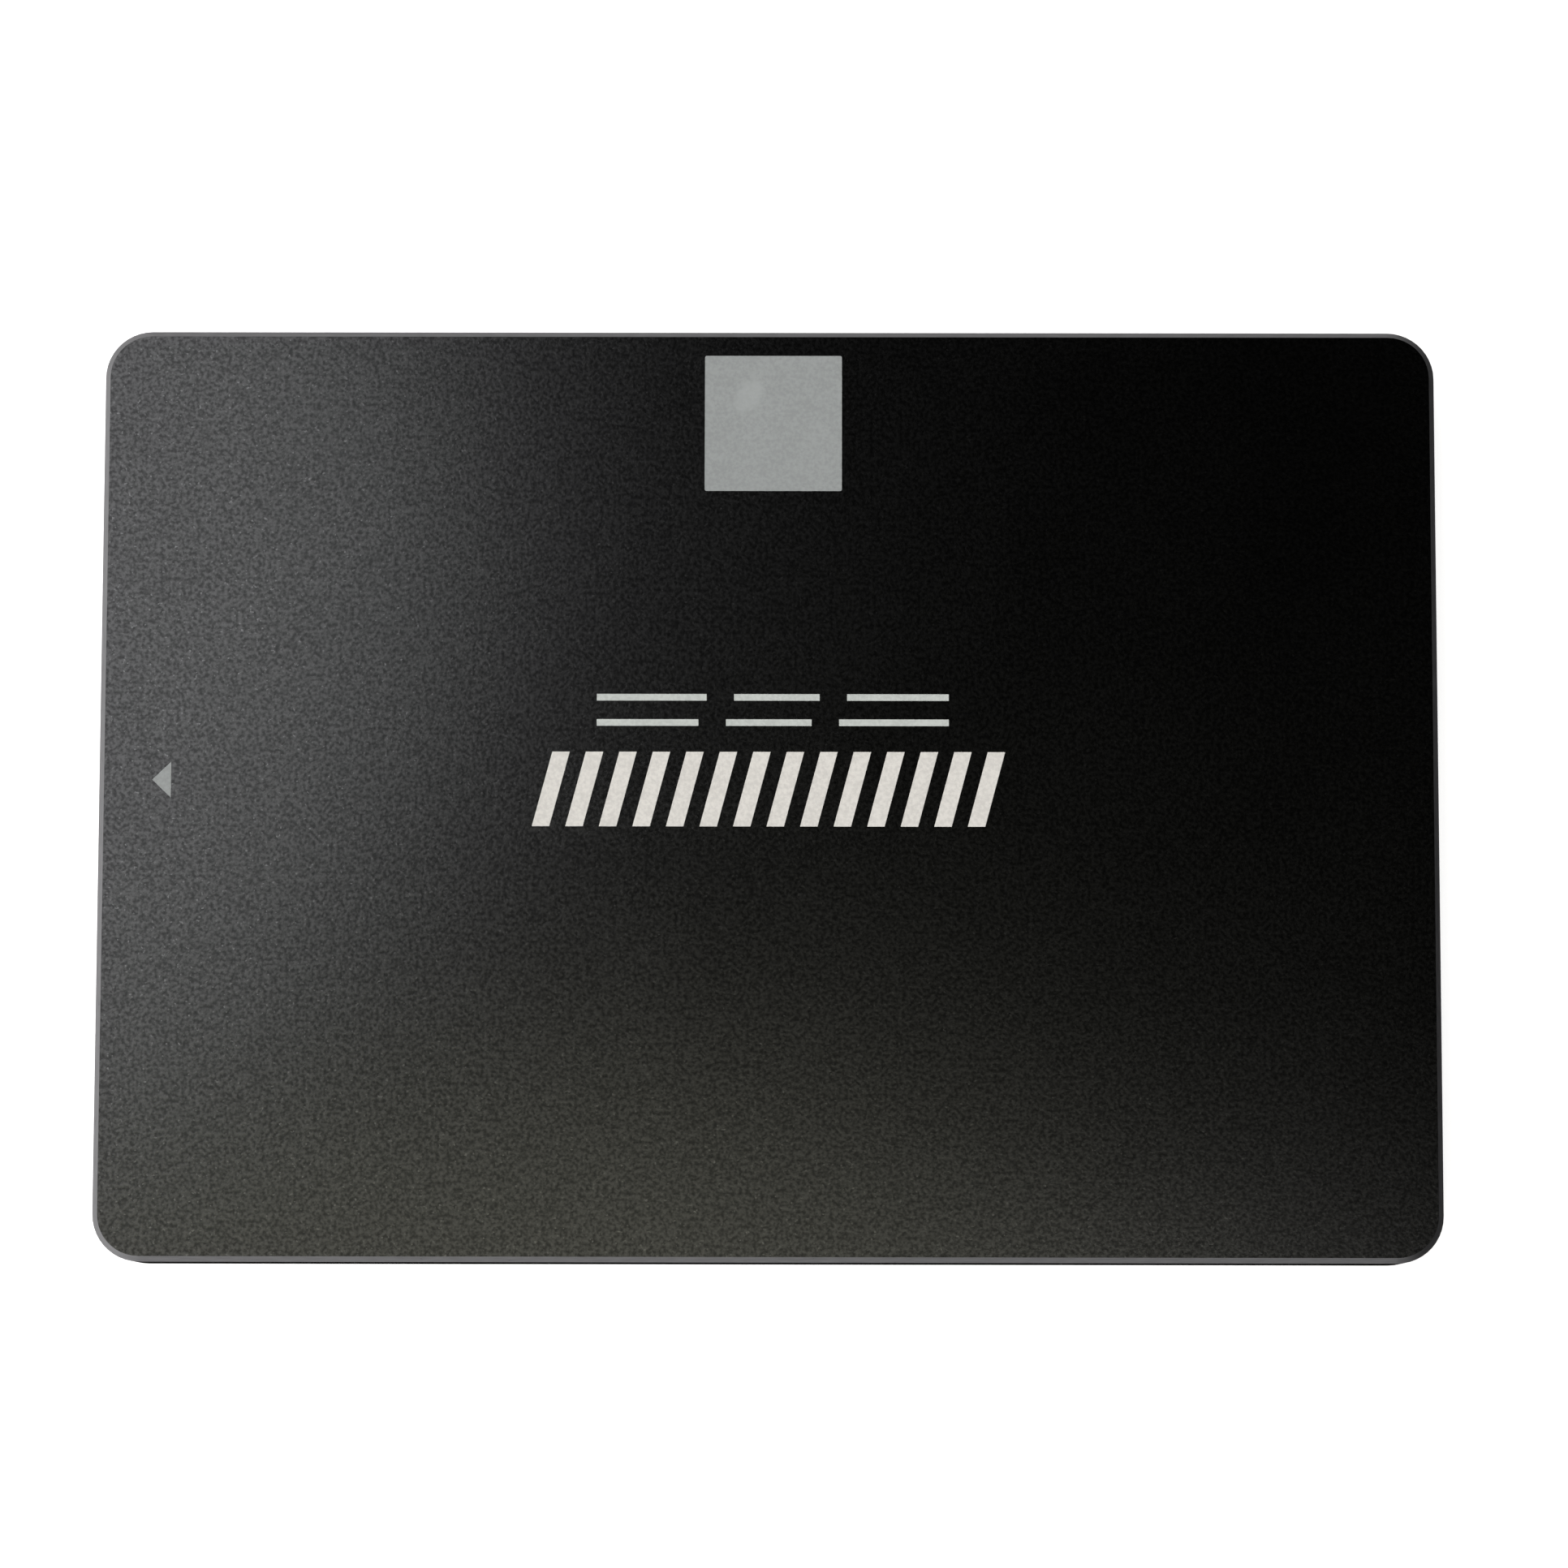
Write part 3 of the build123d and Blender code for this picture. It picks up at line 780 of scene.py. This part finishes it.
class DRIVE_OT_threads(bpy.types.Operator):
    """Wind a thread into each mounting hole"""

    bl_idname = "drive.threads"
    bl_label = "Threads"

    def execute(self, context):
        sizes = context.scene.drive_threads
        steel = plated(
            "cut_thread", dark=(0.10, 0.10, 0.10), light=(0.2, 0.2, 0.2), roughness=0.35)
        patterns = [
            mount for mount in frame["record"]["mounts"] if mount["kind"] == "bolt_pattern"]
        for mount in patterns:
            radius = mount["dims"]["hole_r_mm"] * MM
            inward = -Vector(mount["axis"])
            depth = sizes.bottom_depth if inward.z > 0 else sizes.side_depth
            for index, mouth in enumerate(hole_mouths(mount)):
                def cut(build, mouth=mouth):
                    thread_ridge(build, mouth, inward, radius, depth, sizes)
                new_piece(f"{mount['name']}_thread_{index + 1}", cut, steel)
        return {"FINISHED"}


# ------------------------------------------------------------------ stage
def make_floor(studio):
    """A pale floor that glows a little, so that its shadows stay soft."""
    side = studio.floor_size / 2
    corners = [(-side, -side, 0), (side, -side, 0), (side, side, 0), (-side, side, 0)]
    mesh = bpy.data.meshes.new("floor")
    mesh.from_pydata(corners, [], [(0, 1, 2, 3)])
    floor = bpy.data.objects.new("floor", mesh)
    bpy.context.scene.collection.objects.link(floor)
    material, shader = new_material("pale_floor")
    cloud_size, own_glow = 0.4, 0.75
    shade = shader.noise(cloud_size, 2.0)
    colour = shader.mix(shade, rgba(studio.floor_colour), lighter(studio.floor_colour, 1.03))
    shader.finish(
        Base_Color=colour, Roughness=0.8, Emission_Color=colour, Emission_Strength=own_glow)
    mesh.materials.append(material)
    floor.visible_glossy = False


def make_world(scene, studio):
    """Pale walls, a ring of light high round the drive, and a dark ceiling and pit."""
    world = bpy.data.worlds.new("studio")
    scene.world = world
    shader = Shader(world)
    direction = shader.add("ShaderNodeTexCoord", output=0)
    across = shader.add("ShaderNodeSeparateXYZ", None, {0: direction})
    height = abs(shader.add("ShaderNodeSeparateXYZ", None, {0: direction}, output=2))
    # The grey of the walls at each height above or below the horizon
    greys = [(0.0, 0.06), (0.12, 0.12), (0.3, 0.52), (0.6, 0.35), (0.85, 0.03), (0.95, 0.001)]
    ramp = shader.add("ShaderNodeValToRGB", {"stops": greys}, {0: height})
    # Everything is brighter on the connector's side
    walls = ramp * across.smooth(-0.4, 0.8, 1.1, 0.3)
    low = height.smooth(0.10, 0.25, studio.low_glow, 0.0) * across.smooth(-0.9, 0.7, 1.0, 0.0)
    ring = height.smooth(0.66, 0.74) * height.smooth(0.84, 0.90, studio.ring_glow, 0.0)
    glow = walls + low + ring * across.smooth(-0.5, 0.5, 1.0, 0.15)
    tint = (1.0, 0.985, 0.98, 1.0)
    background = shader.add("ShaderNodeBackground", None, {"Color": tint, "Strength": glow})
    shader.add("ShaderNodeOutputWorld", None, {"Surface": background})


def add_lamp(name, place, aim, size, power, colour):
    """A round soft lamp that faces the drive."""
    light = bpy.data.lights.new(name, "AREA")
    light.shape = "DISK"
    light.size = size
    light.energy = power
    light.color = colour
    lamp = bpy.data.objects.new(name, light)
    lamp.location = place
    lamp.rotation_euler = (aim - Vector(place)).to_track_quat("-Z", "Y").to_euler()
    bpy.context.scene.collection.objects.link(lamp)


def add_camera(scene, studio):
    """A long lens that looks down on the printed face."""
    place = (0.0025, -0.0444, 0.4003)
    turn_in_degrees = (6.530, 0.185, 0.104)
    data = bpy.data.cameras.new("camera")
    data.lens = studio.lens
    data.sensor_width = 36.0
    camera = bpy.data.objects.new("camera", data)
    camera.location = place
    camera.rotation_euler = [math.radians(angle) for angle in turn_in_degrees]
    scene.collection.objects.link(camera)
    scene.camera = camera
    scene.view_settings.view_transform = "Standard"


class DRIVE_OT_stage(bpy.types.Operator):
    """Build the floor, the lamps and the camera"""

    bl_idname = "drive.stage"
    bl_label = "Stage"

    def execute(self, context):
        studio = context.scene.drive_studio
        make_floor(studio)
        make_world(context.scene, studio)
        aim = Vector((0.0, 0.0, CASE_HIGH.z))
        lamp_height = 1.2
        # Each lamp's name, its place over the drive, its width, its power and its tint
        lamps = (
            ("key_lamp", (-0.311, 0.210), 0.416, studio.key_power, (0.972, 0.976, 1.0)),
            ("fill_lamp", (-0.088, -0.249), 0.612, studio.fill_power, (1.0, 0.99, 0.82)),
            ("corner_lamp", (0.134, -0.099), 0.2, studio.corner_power, (1.0, 0.985, 0.98)))
        for name, over, width, power, tint in lamps:
            add_lamp(name, (*over, lamp_height), aim, width, power, tint)
        add_camera(context.scene, studio)
        return {"FINISHED"}


# ------------------------------------------------------------------ panel
class DRIVE_PT_panel(bpy.types.Panel):
    """Lists what the drive is finished with"""

    bl_label = "Solid State Drive"
    bl_idname = "DRIVE_PT_panel"
    bl_space_type = "VIEW_3D"
    bl_region_type = "UI"
    bl_category = "Drive"

    def draw(self, context):
        layout = self.layout
        for group in (context.scene.drive_finish, context.scene.drive_threads,
                      context.scene.drive_studio):
            for name in group.bl_rna.properties.keys():
                if name not in ("rna_type", "name"):
                    layout.prop(group, name)
        for operator in OPERATORS:
            layout.operator(operator.bl_idname)


GROUPS = {
    "drive_finish": DriveFinish, "drive_threads": DriveThreads, "drive_studio": DriveStudio}
OPERATORS = [
    DRIVE_OT_case, DRIVE_OT_marks, DRIVE_OT_label, DRIVE_OT_screws, DRIVE_OT_connector,
    DRIVE_OT_board, DRIVE_OT_solder, DRIVE_OT_threads, DRIVE_OT_stage]


def register():
    """Registers every class and hangs the settings on the scene."""
    for group in (*GROUPS.values(), *OPERATORS, DRIVE_PT_panel):
        bpy.utils.register_class(group)
    for name, group in GROUPS.items():
        setattr(bpy.types.Scene, name, PointerProperty(type=group))


def unregister():
    """Takes the settings and every class away again."""
    for name in GROUPS:
        delattr(bpy.types.Scene, name)
    for group in reversed((*GROUPS.values(), *OPERATORS, DRIVE_PT_panel)):
        bpy.utils.unregister_class(group)


def main():
    """Registers every class and runs every operator in order."""
    register()
    for operator in OPERATORS:
        category, name = operator.bl_idname.split(".")
        getattr(getattr(bpy.ops, category), name)()


if __name__ == "__main__":
    main()
